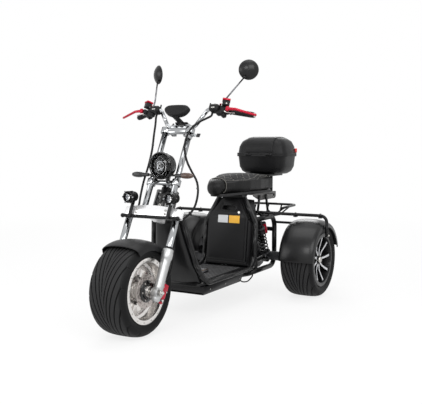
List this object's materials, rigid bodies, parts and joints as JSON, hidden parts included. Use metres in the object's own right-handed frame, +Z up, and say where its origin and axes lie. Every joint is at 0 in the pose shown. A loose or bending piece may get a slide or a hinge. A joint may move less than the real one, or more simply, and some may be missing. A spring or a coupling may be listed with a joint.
{
  "type": "three-wheeled electric scooter",
  "caption": "Three-wheeled electric scooter with a raked fork, step-through floor, saddle, round rear mudguards, luggage basket and lidded top case.",
  "frame": {"origin": "on the ground under the middle of the outline", "axes": "+X forward, +Y to the left, +Z up"},
  "size_m": [2, 1.1566, 1.4561],
  "materials": {
    "black_plastic": "satin moulded",
    "black_paint": "satin powder coat",
    "dark_steel": "satin",
    "chrome": "polished",
    "cast_alloy": "satin cast",
    "polished_alloy": "polished",
    "white_alloy": "gloss",
    "steel": "brushed",
    "red_alloy": "gloss anodised",
    "bronze": "satin",
    "tyre": "matte",
    "rubber": "matte",
    "leather": "grained",
    "grey_plastic": "matte",
    "lens": "clear",
    "smoked_lens": "gloss",
    "red_lens": "gloss",
    "two_tone_alloy": "black with machined faces"
  },
  "bodies": {
    "chassis": {"frame": "black_paint", "neck_cover": "black_plastic", "leg_shield": "black_plastic", "belly_pan": "black_plastic", "edge_bands": "black_plastic", "footboard": "black_plastic", "floor_mat": "rubber", "floor_latch": "bronze", "battery_housing": "black_plastic", "battery_pack": "black_plastic", "seat_pan": "grey_plastic", "seat_nose": "leather", "seat_cushion": "leather", "seat_bracket": "grey_plastic", "swing_arm": "black_paint", "rear_axle": "dark_steel", "rear_shocks": "black_paint", "rear_mudguard_left": "black_plastic", "rear_mudguard_right": "black_plastic", "mudguard_rail": "black_paint", "luggage_basket": "black_paint", "case_carrier": "black_paint", "case_base": "black_plastic", "tail_lamp": "red_lens", "floor_cable": "rubber"},
    "steering": {"lower_clamp": "white_alloy", "upper_clamps": "chrome", "fork_tubes": "chrome", "fork_sliders": "cast_alloy", "front_axle": "steel", "front_mudguard": "black_plastic", "front_caliper": "red_alloy", "fork_bar": "black_paint", "handlebar": "chrome", "grips": "rubber", "bar_controls": "black_plastic", "brake_levers": "red_alloy", "display": "black_plastic", "headlamp": "black_plastic", "lamp_lenses": "lens", "turn_signals": "smoked_lens", "spot_lamps": "black_paint", "mirrors": "black_plastic", "mirror_stems": "chrome", "steering_cables": "rubber"},
    "front_wheel": {"front_tyre": "tyre", "front_rim": "polished_alloy", "front_disc": "steel"},
    "rear_left_wheel": {"rear_left_tyre": "tyre", "rear_left_rim": "two_tone_alloy"},
    "rear_right_wheel": {"rear_right_tyre": "tyre", "rear_right_rim": "two_tone_alloy"},
    "case_top": {"case_lid": "black_plastic"}
  },
  "joints": [
    {"name": "steering", "type": "hinge", "parent": "chassis", "child": "steering", "pos_m": [0.45933, 0, 0.66786], "axis": [-0.4571, 0, 0.8894], "range_deg": [-38, 38]},
    {"name": "front_wheel_spin", "type": "hinge", "parent": "steering", "child": "front_wheel", "pos_m": [0.7615, 0, 0.2385], "axis": [0, 1, 0], "continuous": true},
    {"name": "rear_left_spin", "type": "hinge", "parent": "chassis", "child": "rear_left_wheel", "pos_m": [-0.5745, 0.434, 0.2385], "axis": [0, 1, 0], "continuous": true},
    {"name": "rear_right_spin", "type": "hinge", "parent": "chassis", "child": "rear_right_wheel", "pos_m": [-0.5745, -0.434, 0.2385], "axis": [0, 1, 0], "continuous": true},
    {"name": "case_lid_hinge", "type": "hinge", "parent": "chassis", "child": "case_top", "pos_m": [-0.712, 0, 0.906], "axis": [0, 1, 0], "range_deg": [0, 85]}
  ]
}
